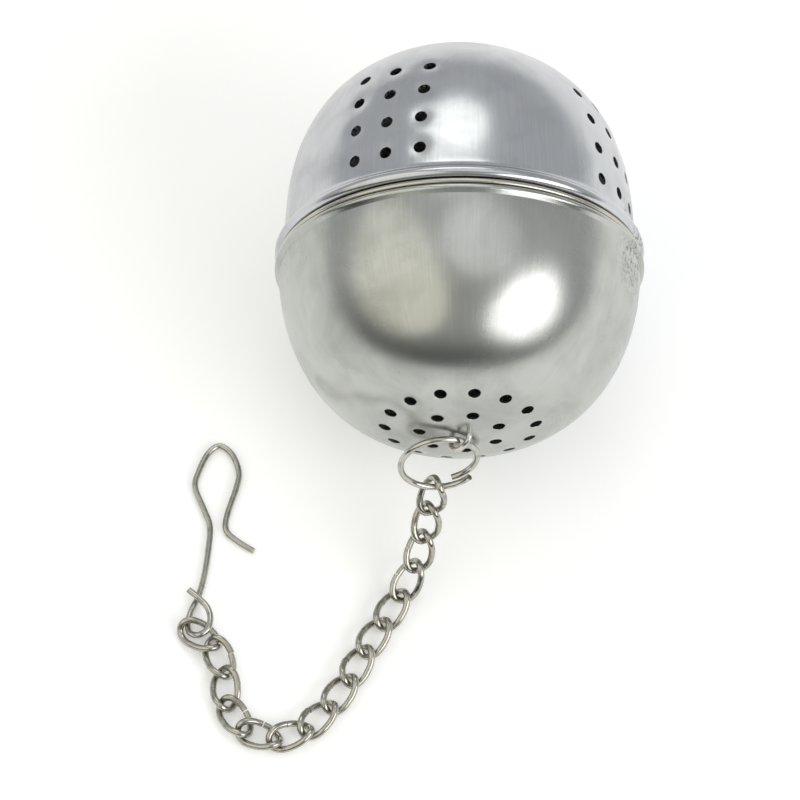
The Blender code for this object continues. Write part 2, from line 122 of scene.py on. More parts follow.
def add(tree, kind, inputs=None, **settings):
    """Adds a node, sets its inputs to values or links them to other nodes' outputs."""
    made = tree.nodes.new(kind)
    for name, value in settings.items():
        setattr(made, name, value)
    for name, value in (inputs or {}).items():
        socket = made.inputs[name]
        if isinstance(value, bpy.types.NodeSocket):
            tree.links.new(value, socket)
        else:
            socket.default_value = value
    return made


def geometry_tree(name, sizes):
    """An empty Geometry Nodes tree: its input node, and a function that closes it with a result."""
    tree = bpy.data.node_groups.new(name, "GeometryNodeTree")
    tree.interface.new_socket("Geometry", in_out="OUTPUT", socket_type="NodeSocketGeometry")
    tree.interface.new_socket("Geometry", in_out="INPUT", socket_type="NodeSocketGeometry")
    for label, kind in sizes:
        tree.interface.new_socket(label, in_out="INPUT", socket_type="NodeSocket" + kind)
    tree.interface.new_socket("Material", in_out="INPUT", socket_type="NodeSocketMaterial")
    entry = add(tree, "NodeGroupInput").outputs

    def close(result):
        real = add(tree, "GeometryNodeRealizeInstances", {0: result}).outputs[0]
        shaded = add(tree, "GeometryNodeSetShadeSmooth", {0: real}).outputs[0]
        metal = {"Geometry": shaded, "Material": entry["Material"]}
        painted = add(tree, "GeometryNodeSetMaterial", metal).outputs[0]
        add(tree, "NodeGroupOutput", {0: painted})

    return tree, entry, close


def grown(name, base, tree, sizes, place=None, crease=35.0):
    """Runs a tree on a base mesh and returns the result as a plain mesh object at the origin."""
    maker = bpy.data.objects.new(name + "_maker", base)
    bpy.context.scene.collection.objects.link(maker)
    run = maker.modifiers.new(tree.name, "NODES")
    run.node_group = tree
    for item in tree.interface.items_tree:
        if item.in_out == "INPUT" and item.name in sizes:
            run[item.identifier] = sizes[item.name]
    bpy.context.view_layer.update()
    shown = maker.evaluated_get(bpy.context.evaluated_depsgraph_get())
    mesh = bpy.data.meshes.new_from_object(shown)
    bpy.data.objects.remove(maker)
    mesh.name = name
    if place is not None:
        mesh.transform(place)
    work = bmesh.new()
    work.from_mesh(mesh)
    bmesh.ops.remove_doubles(work, verts=work.verts, dist=weld)
    bmesh.ops.recalc_face_normals(work, faces=work.faces)
    work.to_mesh(mesh)
    work.free()
    mesh.set_sharp_from_angle(angle=math.radians(crease))
    made = bpy.data.objects.new(name, mesh)
    bpy.context.scene.collection.objects.link(made)
    return made


def line_mesh(name, points):
    mesh = bpy.data.meshes.new(name)
    mesh.from_pydata([tuple(p) for p in points], [(i, i + 1) for i in range(len(points) - 1)], [])
    return mesh


def profile_mesh(name, outline):
    return line_mesh(name, [(r, 0.0, h) for r, h in outline])


def turned_tree():
    """Turns a profile about the Y axis, dents the wall at each punch and cuts the punch through it.

    A 45 degree flare eases each hole's outer edge.
    """
    punch_depth = 0.0030
    punch_sides = 28
    flare_top, flare_sunk = 1.30, -1.16         # the flare's radius and place, over the hole's radius
    sizes = [("Facets", "Int"), ("Punches", "Object"), ("Hole", "Float"), ("Dent", "Float")]
    tree, entry, close = geometry_tree("turned_and_punched", sizes + [("Dent Reach", "Float")])
    rows = add(tree, "GeometryNodeAttributeDomainSize", {0: entry["Geometry"]}).outputs["Point Count"]
    columns = add(tree, "ShaderNodeMath", {0: entry["Facets"], 1: 1.0}, operation="ADD").outputs[0]
    grid = add(tree, "GeometryNodeMeshGrid", {"Vertices X": columns, "Vertices Y": rows}).outputs[0]
    index = add(tree, "GeometryNodeInputIndex").outputs[0]
    row = add(tree, "ShaderNodeMath", {0: index, 1: rows}, operation="MODULO").outputs[0]
    nudged = add(tree, "ShaderNodeMath", {0: index, 1: 0.5}, operation="ADD").outputs[0]
    whole = add(tree, "ShaderNodeMath", {0: nudged, 1: rows}, operation="DIVIDE").outputs[0]
    column = add(tree, "ShaderNodeMath", {0: whole}, operation="FLOOR").outputs[0]
    turned = add(tree, "ShaderNodeMath", {0: column, 1: entry["Facets"]}, operation="DIVIDE").outputs[0]
    angle = add(tree, "ShaderNodeMath", {0: turned, 1: 2 * math.pi}, operation="MULTIPLY").outputs[0]
    place = add(tree, "GeometryNodeInputPosition").outputs[0]
    taken = add(tree, "GeometryNodeSampleIndex", {"Geometry": entry["Geometry"], "Index": row},
                data_type="FLOAT_VECTOR", domain="POINT")
    tree.links.new(place, taken.inputs["Value"])
    outline = add(tree, "ShaderNodeSeparateXYZ", {0: taken.outputs[0]}).outputs
    across = add(tree, "ShaderNodeMath", {0: angle}, operation="SINE").outputs[0]
    upwards = add(tree, "ShaderNodeMath", {0: angle}, operation="COSINE").outputs[0]
    x = add(tree, "ShaderNodeMath", {0: outline[0], 1: across}, operation="MULTIPLY").outputs[0]
    z = add(tree, "ShaderNodeMath", {0: outline[0], 1: upwards}, operation="MULTIPLY").outputs[0]
    point = add(tree, "ShaderNodeCombineXYZ", {"X": x, "Y": outline[2], "Z": z}).outputs[0]
    round_wall = add(tree, "GeometryNodeSetPosition", {"Geometry": grid, "Position": point}).outputs[0]
    closed = {"Geometry": round_wall, "Distance": weld}
    wall = add(tree, "GeometryNodeMergeByDistance", closed).outputs[0]
    punches = add(tree, "GeometryNodeObjectInfo", {"Object": entry["Punches"]}).outputs["Geometry"]
    near = add(tree, "GeometryNodeProximity", {0: punches}, target_element="POINTS").outputs["Distance"]
    reach = {0: near, 1: entry["Dent Reach"]}
    far_off = add(tree, "ShaderNodeMath", reach, operation="DIVIDE").outputs[0]
    square = add(tree, "ShaderNodeMath", {0: far_off, 1: 2.0}, operation="POWER").outputs[0]
    fading = add(tree, "ShaderNodeMath", {0: square, 1: -1.0}, operation="MULTIPLY").outputs[0]
    share = add(tree, "ShaderNodeMath", {0: fading}, operation="EXPONENT").outputs[0]
    depth = add(tree, "ShaderNodeMath", {0: share, 1: entry["Dent"]}, operation="MULTIPLY").outputs[0]
    towards = add(tree, "ShaderNodeVectorMath", {0: place}, operation="NORMALIZE").outputs[0]
    inwards = add(tree, "ShaderNodeMath", {0: depth, 1: -1.0}, operation="MULTIPLY").outputs[0]
    scaled = {0: towards, "Scale": inwards}
    move = add(tree, "ShaderNodeVectorMath", scaled, operation="SCALE").outputs[0]
    result = add(tree, "GeometryNodeSetPosition", {"Geometry": wall, "Offset": move}).outputs[0]
    punch = {"Vertices": punch_sides, "Radius": entry["Hole"], "Depth": punch_depth}
    drill = add(tree, "GeometryNodeMeshCylinder", punch).outputs[0]
    widened = {0: entry["Hole"], 1: flare_top}
    flare_radius = add(tree, "ShaderNodeMath", widened, operation="MULTIPLY").outputs[0]
    cone = {"Vertices": punch_sides, "Radius Top": flare_radius, "Radius Bottom": 0.0,
            "Depth": flare_radius}
    flare = add(tree, "GeometryNodeMeshCone", cone).outputs[0]
    sinking = {0: entry["Hole"], 1: flare_sunk}
    drop = add(tree, "ShaderNodeMath", sinking, operation="MULTIPLY").outputs[0]
    sunk = add(tree, "ShaderNodeCombineXYZ", {"Z": drop}).outputs[0]
    flare = add(tree, "GeometryNodeTransform", {"Geometry": flare, "Translation": sunk}).outputs[0]
    kept = {"Name": "aim"}
    aim = add(tree, "GeometryNodeInputNamedAttribute", kept, data_type="FLOAT_VECTOR").outputs[0]
    facing = add(tree, "FunctionNodeAlignRotationToVector", {"Vector": aim}, axis="Z").outputs[0]
    for tool in (drill, flare):
        stamps = {"Points": punches, "Instance": tool, "Rotation": facing}
        tools = add(tree, "GeometryNodeInstanceOnPoints", stamps).outputs[0]
        tools = add(tree, "GeometryNodeRealizeInstances", {0: tools}).outputs[0]
        pair = {"Mesh 1": result, "Mesh 2": tools}
        cut = add(tree, "GeometryNodeMeshBoolean", pair, operation="DIFFERENCE", solver="EXACT")
        result = cut.outputs[0]
    close(result)
    return tree


def punch_points(name, places):
    """A mesh with a point at each hole, which keeps the way its punch is aimed."""
    mesh = bpy.data.meshes.new(name)
    mesh.from_pydata([tuple(place) for place, _ in places], [], [])
    aims = mesh.attributes.new("aim", "FLOAT_VECTOR", "POINT")
    for i, (_, aim) in enumerate(places):
        aims.data[i].vector = aim
    made = bpy.data.objects.new(name, mesh)
    bpy.context.scene.collection.objects.link(made)
    return made


def round_axis(distance, height, degrees):
    """A point beside the egg's axis, its angle measured from straight up towards +X."""
    angle = math.radians(degrees)
    return Vector((distance * math.sin(angle), height, distance * math.cos(angle)))


def near_punches():
    """Rings of holes round the near pole, each hole square to the wall."""
    places = []
    step = 0.0002
    for count, ring_size, first in near_rings:
        heights = [near_length * (1 - (r / near_radius) ** near_nose) ** (1 / near_shoulder) for r in
                   (ring_size, ring_size + step)]
        slope = (heights[0] - heights[1]) / step
        for i in range(count):
            degrees = first + 360 / count * i
            aim = round_axis(slope, -1.0, degrees).normalized()
            places.append((round_axis(ring_size, -heights[0], degrees), aim))
    return places


def linear(code):
    """A colour from its sRGB hex code."""
    parts = [int(code[i:i + 2], 16) / 255 for i in (1, 3, 5)]
    return (*[c / 12.92 if c <= 0.04045 else ((c + 0.055) / 1.055) ** 2.4 for c in parts], 1.0)


def metal(name, roughness):
    """A new metal: its tree and its shader. A metal keeps the default IOR."""
    made = bpy.data.materials.new(name)
    made.use_nodes = True
    shader = made.node_tree.nodes["Principled BSDF"]
    shader.inputs["Metallic"].default_value = 1.0
    shader.inputs["Roughness"].default_value = roughness
    return made, made.node_tree, shader


def spun_steel(name, code, dull_code, roughness, scuff):
    """Stainless sheet (austenitic, 18/8), drawn and then polished along its meridians.

    The polish leaves hairlines that run from pole to pole and cloudy patches a few millimetres wide.
    Hairlines are about 0.05 mm apart, drawn at 0.2 mm so that they show. The rolled bead, within
    1.5 mm of the mouth, is burnished by its roller. The scuff is a patch of fine brown specks, where
    the polish is worn, and scuff gives its middle from the egg's.
    """
    hair_gap, hair_length = 0.0002, 0.006
    cloud_size, speck_size = 0.007, 0.0005
    bead_end, wall_start = 0.0015, 0.0019       # from the parting plane
    burnished = 0.20                            # roughness
    scuff_solid, scuff_end = 0.0016, 0.0050     # from the scuff's middle
    made, tree, shader = metal(name, roughness)
    place = add(tree, "ShaderNodeTexCoord").outputs["Object"]
    centred = add(tree, "ShaderNodeMapping", {"Vector": place, "Location": -egg}).outputs[0]
    parts = add(tree, "ShaderNodeSeparateXYZ", {0: centred}).outputs
    spoke = add(tree, "ShaderNodeCombineXYZ", {"X": parts[0], "Z": parts[2]}).outputs[0]
    spoke = add(tree, "ShaderNodeVectorMath", {0: spoke}, operation="NORMALIZE").outputs[0]
    spread = {0: spoke, "Scale": radius / hair_gap}
    spoke = add(tree, "ShaderNodeVectorMath", spread, operation="SCALE").outputs[0]
    along = add(tree, "ShaderNodeMath", {0: parts[1], 1: 1 / hair_length}, operation="MULTIPLY").outputs[0]
    along = add(tree, "ShaderNodeCombineXYZ", {"Y": along}).outputs[0]
    grain = add(tree, "ShaderNodeVectorMath", {0: spoke, 1: along}, operation="ADD").outputs[0]
    hairs = add(tree, "ShaderNodeTexNoise", {"Vector": grain, "Scale": 1.0, "Detail": 3.0}).outputs[0]
    clouds = {"Vector": centred, "Scale": 1 / cloud_size, "Detail": 4.0, "Roughness": 0.55,
              "Distortion": 0.4}
    cloud = add(tree, "ShaderNodeTexNoise", clouds).outputs[0]
    dull = add(tree, "ShaderNodeMapRange", {0: cloud, 1: 0.42, 2: 0.72}, clamp=True).outputs[0]
    clouded = {0: dull, 6: linear(code), 7: linear(dull_code)}
    tone = add(tree, "ShaderNodeMix", clouded, data_type="RGBA").outputs[2]
    streak = add(tree, "ShaderNodeMapRange", {0: hairs, 1: 0.3, 2: 0.7, 3: 0.96, 4: 1.03}).outputs[0]
    brushed = {0: 1.0, 6: tone, 7: streak}
    tone = add(tree, "ShaderNodeMix", brushed, data_type="RGBA", blend_type="MULTIPLY").outputs[2]
    worn = {0: cloud, 1: 0.3, 2: 0.75, 3: roughness - 0.03, 4: roughness + 0.06}
    matt = add(tree, "ShaderNodeMapRange", worn).outputs[0]
    from_mouth = add(tree, "ShaderNodeMath", {0: parts[1]}, operation="ABSOLUTE").outputs[0]
    plain = add(tree, "ShaderNodeMapRange", {0: from_mouth, 1: bead_end, 2: wall_start}).outputs[0]
    matt = add(tree, "ShaderNodeMix", {0: plain, 2: burnished, 3: matt}, data_type="FLOAT").outputs[0]
    apart = {0: centred, 1: scuff}
    gone = add(tree, "ShaderNodeVectorMath", apart, operation="DISTANCE").outputs["Value"]
    fade = {0: gone, 1: scuff_solid, 2: scuff_end, 3: 0.9, 4: 0.0}
    close_by = add(tree, "ShaderNodeMapRange", fade).outputs[0]
    specks = {"Vector": centred, "Scale": 1 / speck_size, "Detail": 3.0, "Roughness": 0.8,
              "Distortion": 0.3}
    speck = add(tree, "ShaderNodeTexNoise", specks).outputs[0]
    speck = add(tree, "ShaderNodeMapRange", {0: speck, 1: 0.48, 2: 0.66}).outputs[0]
    mask = add(tree, "ShaderNodeMath", {0: speck, 1: close_by}, operation="MULTIPLY").outputs[0]
    scuffed = {0: mask, 6: tone, 7: linear("#5c514c")}
    tone = add(tree, "ShaderNodeMix", scuffed, data_type="RGBA").outputs[2]
    matt = add(tree, "ShaderNodeMix", {0: mask, 2: matt, 3: 0.5}, data_type="FLOAT").outputs[0]
    tree.links.new(tone, shader.inputs["Base Color"])
    tree.links.new(matt, shader.inputs["Roughness"])
    bump = {"Height": hairs, "Strength": 0.07, "Distance": 0.00004}
    tree.links.new(add(tree, "ShaderNodeBump", bump).outputs[0], shader.inputs["Normal"])
    return made


to_egg = Matrix.Translation(egg)
turned = turned_tree()
near_points = punch_points("near_punches", near_punches())
near_steel = spun_steel("spun_steel_near", "#b8bab6", "#a4a6a2", 0.25, (0.0188, -0.0030, 0.0062))
near_shell = grown("near_shell_polished", profile_mesh("near_profile", near_profile()), turned,
                   {"Facets": facets, "Punches": near_points, "Hole": hole_radius, "Dent": 0.00012,
                    "Dent Reach": 0.0010, "Material": near_steel}, to_egg)
bpy.data.objects.remove(near_points)
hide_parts("near_shell")
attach(near_shell, "base")

# ------------------------------------------------------------------------------------- neck ring
# The male half of the screw joint, a ring of the same sheet that is pressed into the near shell's
# mouth. Its thread is rolled into it as one low, round ridge, and it keeps a turned, satin finish.

neck_low, neck_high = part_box("neck_ring")
neck_top = neck_high.y - egg.y
skirt_end = neck_low.y - egg.y
flat = math.cos(math.pi / 32)                   # the frame's rings have 32 flats
fit = 0.00025                                   # clearance between the nested rings
thread_height = 0.0003
thread_lead = 0.0030                            # travel for one turn
thread_turns = 0.85
far_radius = radius - 0.001
far_sheet = 0.00036                             # drawn deeper than the near shell, and so thinner
collar_outside = (far_radius - far_sheet) * flat - fit
neck_wall = collar_outside - sheet - fit - thread_height
shoulder_top = -lip - fit
deepest = egg_radius(skirt_end, near_radius, near_length, near_shoulder, near_nose)
skirt = (deepest - sheet) * flat - fit


def ring_of_steel(name, code, roughness):
    """Stainless strip with fine turning marks: rings 0.1 mm apart, drawn at 0.15 mm so that they show."""
    mark_length, mark_gap, cloud_size = 0.004, 0.00015, 0.003
    made, tree, shader = metal(name, roughness)
    place = add(tree, "ShaderNodeTexCoord").outputs["Object"]
    scale = {"Vector": place, "Scale": (1 / mark_length, 1 / mark_gap, 1 / mark_length)}
    drawn = add(tree, "ShaderNodeMapping", scale).outputs[0]
    marks = add(tree, "ShaderNodeTexNoise", {"Vector": drawn, "Scale": 1.0, "Detail": 2.0}).outputs[0]
    clouds = {"Vector": place, "Scale": 1 / cloud_size, "Detail": 3.0}
    cloud = add(tree, "ShaderNodeTexNoise", clouds).outputs[0]
    shaded = {0: cloud, 6: linear(code), 7: linear("#a9a8a2")}
    tone = add(tree, "ShaderNodeMix", shaded, data_type="RGBA").outputs[2]
    tree.links.new(tone, shader.inputs["Base Color"])
    matt = {0: cloud, 1: 0.3, 2: 0.7, 3: roughness - 0.03, 4: roughness + 0.08}
    tree.links.new(add(tree, "ShaderNodeMapRange", matt).outputs[0], shader.inputs["Roughness"])
    bump = {"Height": marks, "Strength": 0.15, "Distance": 0.00005}
    tree.links.new(add(tree, "ShaderNodeBump", bump).outputs[0], shader.inputs["Normal"])
    return made


def rounded(outline, reach):
    """A closed outline with each corner cut back to three points on an arc."""
    result = []
    for i, corner in enumerate(outline):
        here = Vector(corner)
        before = (Vector(outline[i - 1]) - here).normalized() * reach + here
        after = (Vector(outline[(i + 1) % len(outline)]) - here).normalized() * reach + here
        middle = (before + after + here * 2) / 4
        result += [before, middle, after]
    return [tuple(point) for point in result] + [tuple(result[0])]


neck_outline = [
    (neck_wall, neck_top), (neck_wall, shoulder_top), (skirt, shoulder_top), (skirt, skirt_end),
    (skirt - sheet, skirt_end), (skirt - sheet, shoulder_top - sheet),
    (neck_wall - sheet, shoulder_top - sheet), (neck_wall - sheet, neck_top),
]
no_punches = punch_points("no_punches", [(Vector((0, 1, 0)), Vector((0, 1, 0)))])
neck_steel = ring_of_steel("rolled_steel_neck", "#c6c5bf", 0.26)
plain_ring = {"Facets": 256, "Punches": no_punches, "Hole": 0.0001, "Dent": 0.0, "Dent Reach": 0.001}
neck = grown("neck_ring_rolled", profile_mesh("neck_profile", rounded(neck_outline, 0.00012)), turned,
             {**plain_ring, "Material": neck_steel}, to_egg)
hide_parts("neck_ring")
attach(neck, "base")


def wire_tree():
    """A round wire along the maker's points, with flat ends where it isn't closed."""
    sizes = [("Thickness", "Float"), ("Sides", "Int"), ("Closed", "Bool")]
    tree, entry, close = geometry_tree("wire_along_points", sizes)
    line = add(tree, "GeometryNodeMeshToCurve", {0: entry["Geometry"]}).outputs[0]
    joined = {"Geometry": line, "Cyclic": entry["Closed"]}
    line = add(tree, "GeometryNodeSetSplineCyclic", joined).outputs[0]
    half = add(tree, "ShaderNodeMath", {0: entry["Thickness"], 1: 0.5}, operation="MULTIPLY").outputs[0]
    circle = {"Resolution": entry["Sides"], "Radius": half}
    section = add(tree, "GeometryNodeCurvePrimitiveCircle", circle, mode="RADIUS").outputs[0]
    sweep = {"Curve": line, "Profile Curve": section, "Fill Caps": True}
    close(add(tree, "GeometryNodeCurveToMesh", sweep).outputs[0])
    return tree


def thread_points():
    """A right-hand helix on the neck, which sinks into the wall over a fourteenth at both ends."""
    count = 220
    top = neck_top - 0.0008
    points = []
    for i in range(count + 1):
        share = i / count
        angle = 2 * math.pi * thread_turns * share
        sink = thread_height * (max(0.0, 1 - share * 14) + max(0.0, 1 - (1 - share) * 14))
        out = neck_wall - sink
        height = top - thread_lead * thread_turns * (1 - share)
        points.append((out * math.cos(angle), height, -out * math.sin(angle)))
    return points


wires = wire_tree()
thread_line = line_mesh("thread_line", thread_points())
thread = grown("neck_thread", thread_line, wires,
               {"Thickness": 0.00056, "Sides": 16, "Material": neck_steel}, to_egg)
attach(thread, "base")

# ------------------------------------------------------------------------------------- far shell
# The longer half of the egg, drawn from the same sheet with a blunter shoulder and a thicker bead. It
# has four patches of punched holes round its side, and its polish is slightly colder in tone.

far_length = far_high.y - egg.y
far_shoulder = 2.95
far_nose = 2.05
far_bead = 0.0014
far_bead_middle = lip_gap + far_bead / 2
patches = 4
patch_start = -25.0                             # degrees from straight up towards +X
rows = 4
first_row = 0.0043                              # along the wall, from the parting plane
hole_pitch = 0.00385                            # between holes, along the wall and round it


def far_profile():
    roll = far_bead / 2
    rim = bead(radius - roll, far_bead_middle, roll, 70.0, -90.0, 20)
    fillet_end = far_bead_middle + 2.4 * roll
    outer = egg_wall(far_radius, far_length, far_shoulder, far_nose, fillet_end, 104)
    inner = egg_wall(far_radius - far_sheet, far_length - far_sheet, far_shoulder, far_nose, fillet_end, 60)
    start, end = Vector(outer[0]), Vector(rim[0])
    corner = Vector((start.x, end.y + 0.35 * (start.y - end.y)))
    fillet = [tuple(start * (1 - t) ** 2 + corner * 2 * t * (1 - t) + end * t * t) for t in
              (0.15, 0.3, 0.45, 0.6, 0.75, 0.9)]
    mouth = (far_radius - far_sheet, lip_gap)
    return outer[::-1] + fillet + rim + [mouth] + inner


def far_punches():
    """Four patches of holes, three across and four along, evenly spaced along the wall."""
    places = []
    step = 0.00002
    height, gone, row = 0.0, 0.0, 0
    while row < rows:
        here = egg_radius(height, far_radius, far_length, far_shoulder, far_nose)
        ahead = egg_radius(height + step, far_radius, far_length, far_shoulder, far_nose)
        gone += math.hypot(step, ahead - here)
        height += step
        if gone < first_row + hole_pitch * row:
            continue
        row += 1
        for patch in range(patches):
            for column in (-1, 0, 1):
                degrees = patch_start + 360 / patches * patch + math.degrees(hole_pitch / ahead) * column
                aim = round_axis(1.0, (here - ahead) / step, degrees).normalized()
                places.append((round_axis(ahead, height, degrees), aim))
    return places


far_points = punch_points("far_punches", far_punches())
far_steel = spun_steel("spun_steel_far", "#c3c5c8", "#aeb0b3", 0.25, (0.0192, 0.0016, 0.0042))
far_shell = grown("far_shell_polished", profile_mesh("far_profile", far_profile()), turned,
                  {"Facets": facets, "Punches": far_points, "Hole": hole_radius, "Dent": 0.00014,
                   "Dent Reach": 0.0011, "Material": far_steel}, to_egg)
bpy.data.objects.remove(far_points)
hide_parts("far_shell")
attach(far_shell, "far_shell")

# ---------------------------------------------------------------------------------------- collar
# The female half of the screw joint. It lines the far shell's mouth, and its rolled lip shows as a
# thin ridge between the two beads. It travels along the screw with the far shell.

lip_radius = radius - 0.00025
collar_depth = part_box("far_collar")[1].y - egg.y
collar_inside = collar_outside - sheet
bulge = bead(lip_radius - lip / 2, -lip / 2, lip / 2, 90.0, -90.0, 14)
collar_outline = [(collar_outside, collar_depth), (collar_outside, 0.0)] + bulge
collar_outline += [(collar_inside, -lip), (collar_inside, collar_depth), (collar_outside, collar_depth)]
collar_steel = ring_of_steel("rolled_steel_collar", "#c9c5b8", 0.20)
collar = grown("far_collar_rolled", profile_mesh("collar_profile", collar_outline), turned,
               {**plain_ring, "Material": collar_steel}, to_egg)
bpy.data.objects.remove(no_punches)
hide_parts("far_collar")
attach(collar, "far_collar")

# -------------------------------------------------------------------------------------- pole eye
# A staple of soft steel wire through two holes at the near pole. Its legs are turned out inside the
# shell, and its bow holds the split ring.

eye_wire = 0.0006
eye_span = 0.0034                               # between the legs
eye_foot = 0.0013                               # how far each leg is turned out
eye_turn = 34.0                                 # degrees from straight up towards +X
ring_wire = 0.0007
play = 0.00025                                  # between the wires, and between them and the shell


def eye_points():
    """(across, out) points along the staple, from one foot over the bow to the other, put in place."""
    half = eye_span / 2
    inside = -sheet - play - eye_wire / 2
    ring_height = play + ring_wire / 2
    top = ring_height + ring_wire / 2 + play + eye_wire / 2
    corner = [(half + 0.0002, inside), (half + 0.00006, inside + 0.00008), (half, inside + 0.0003)]
    side = [(half + eye_foot, inside), (half + 0.0007, inside)] + corner + [(half, 0.3 * top)]
    for degrees in range(10, 90, 10):
        angle = math.radians(degrees)
        side.append((half * math.cos(angle), 0.3 * top + 0.7 * top * math.sin(angle)))
    outline = side + [(0.0, top)] + [(-across, out) for across, out in side[::-1]]
    return [round_axis(across, -near_length - out, eye_turn) for across, out in outline]


def plated_wire(name, code, shade_code, roughness):
    """Soft iron wire, drawn and nickel plated: warm grey, with drawing marks and darker, duller spots.

    The spots are where the plating is thin. They are 0.3 to 1 mm long. The drawing marks are fine pits.
    """
    spot_size, pit_size = 0.0009, 0.00025
    made, tree, shader = metal(name, roughness)
    place = add(tree, "ShaderNodeTexCoord").outputs["Object"]
    spots = {"Vector": place, "Scale": 1 / spot_size, "Detail": 5.0, "Roughness": 0.6}
    spot = add(tree, "ShaderNodeTexNoise", spots).outputs[0]
    thin = add(tree, "ShaderNodeMapRange", {0: spot, 1: 0.50, 2: 0.75}).outputs[0]
    shaded = {0: thin, 6: linear(code), 7: linear(shade_code)}
    tone = add(tree, "ShaderNodeMix", shaded, data_type="RGBA").outputs[2]
    tree.links.new(tone, shader.inputs["Base Color"])
    matt = {0: spot, 1: 0.3, 2: 0.7, 3: roughness - 0.03, 4: roughness + 0.07}
    tree.links.new(add(tree, "ShaderNodeMapRange", matt).outputs[0], shader.inputs["Roughness"])
    fine = {"Vector": place, "Scale": 1 / pit_size, "Detail": 2.0}
    pits = add(tree, "ShaderNodeTexNoise", fine).outputs[0]
    bump = {"Height": pits, "Strength": 0.12, "Distance": 0.00003}
    tree.links.new(add(tree, "ShaderNodeBump", bump).outputs[0], shader.inputs["Normal"])
    return made


eye_metal = plated_wire("plated_wire_eye", "#cccac4", "#a4a29b", 0.16)
eye = grown("pole_eye_bent", line_mesh("eye_line", eye_points()), wires,
            {"Thickness": eye_wire, "Sides": 20, "Material": eye_metal}, to_egg)
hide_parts("pole_eye")
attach(eye, "base")

# ------------------------------------------------------------------------------------ split ring
# A flat coil of plated wire, a little more than one turn, so that its cut ends lie side by side.
# It hangs through the eye and carries the first link.

ring_radius = (0.0090 - ring_wire) / 2
ring_end = 125.0                                # degrees from the eye to the nearer end
ring_sweep = 390.0                              # degrees of wire: the ends pass each other by 30
ring_lift = 11.0                                # degrees that the ring hangs away from the shell


def ring_point(degrees):
    """A point on the coil in the ring's own frame, where the eye is at 0 degrees."""
    side = (0.5 - (ring_end - degrees) / ring_sweep) * (ring_wire + play) * ring_sweep / 360
    angle = math.radians(degrees)
    return Vector((ring_radius * math.cos(angle), ring_radius * math.sin(angle), side))


def ring_frame():
    """The ring's own frame: X from its middle to the eye, Z along its axis."""
    turn, lift = math.radians(eye_turn), math.radians(ring_lift)
    up = Vector((math.sin(turn), 0, math.cos(turn)))
    outwards = Vector((0, -1, 0))
    along_x = up * math.cos(lift) - outwards * math.sin(lift)
    along_y = Vector((math.cos(turn), 0, -math.sin(turn)))
    turned_to = Matrix((along_x, along_y, along_x.cross(along_y))).transposed().to_4x4()
    held = egg + Vector((0, -near_length - play - ring_wire / 2, 0))
    return Matrix.Translation(held - turned_to @ ring_point(0.0)) @ turned_to


ring_line = [ring_point(ring_end - ring_sweep * i / 180) for i in range(181)]
ring_metal = plated_wire("plated_wire_ring", "#bcbab3", "#8c8a83", 0.14)
ring = grown("split_ring_coiled", line_mesh("ring_line", ring_line), wires,
             {"Thickness": ring_wire, "Sides": 20, "Material": ring_metal}, ring_frame())
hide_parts("split_ring")
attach(ring, "split_ring")

# ----------------------------------------------------------------------------------------- chain
# A curb chain of fifteen twisted wire links. Each link is bent round a former, closed with its two
# cut ends meeting at the middle of one side, and twisted a quarter turn so that the chain lies flat.

link_count = 15
link_wire = 0.00075 * 0.985                     # a little thinner than the solid's, for clearance
link_length = 0.0055
link_width = 0.0034
link_twist = -math.pi / 2                       # from one end to the other
fullness = 0.8                                  # 1 makes an oval link, less a fuller, rounder one


